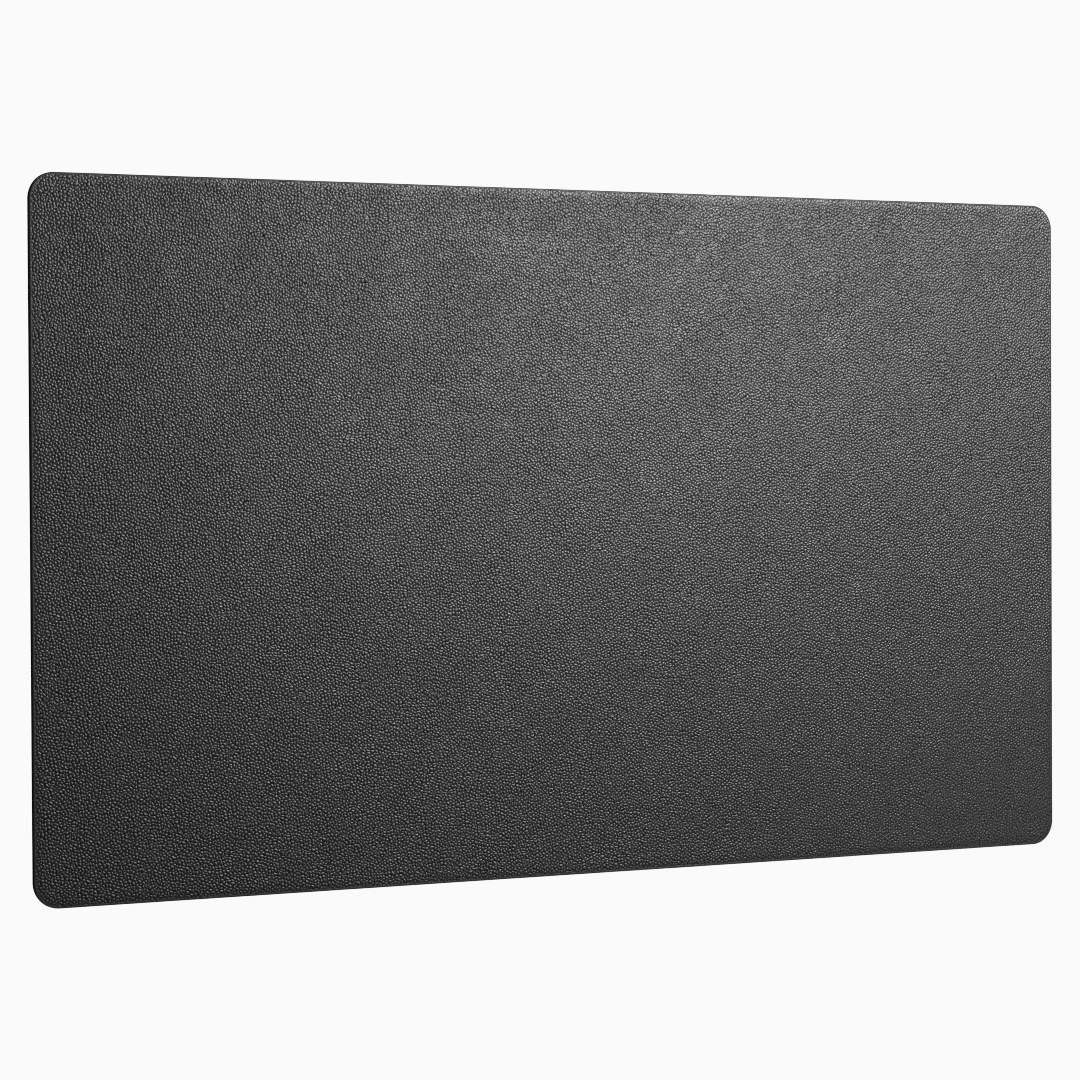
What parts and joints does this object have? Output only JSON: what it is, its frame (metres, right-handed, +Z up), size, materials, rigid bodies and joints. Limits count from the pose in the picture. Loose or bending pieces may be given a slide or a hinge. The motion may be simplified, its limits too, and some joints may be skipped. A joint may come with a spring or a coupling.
{
  "type": "desk mat",
  "caption": "Flat rounded-corner desk mat: a pebble-grained leather-look face on a stiff laminated core, with painted edges and a soft non-slip underside.",
  "frame": {"origin": "centre of the underside, on the face that rests on the desk", "axes": "+X along the long side, to the right of a person who faces the desk; +Y along the short side, away from that person; +Z up out of the working face"},
  "size_m": [0.6, 0.35, 0.003],
  "materials": {
    "grain_leather": "charcoal black synthetic leather with a fine pebbled grain and a satin sheen",
    "carrier_cloth": "grey knitted carrier cloth of the synthetic leather",
    "adhesive": "thin translucent hot-melt bonding film",
    "core": "dense brown bonded-fibre board",
    "suede": "matt charcoal microfibre suede with a short nap",
    "edge_paint": "smooth near-black edge paint with a dull satin finish"
  },
  "bodies": {
    "root": {"top_leather_skin": "grain_leather", "leather_carrier_cloth": "carrier_cloth", "upper_adhesive_film": "adhesive", "core_board": "core", "lower_adhesive_film": "adhesive", "underside_suede_sheet": "suede", "edge_paint_seal": "edge_paint"}
  },
  "joints": []
}
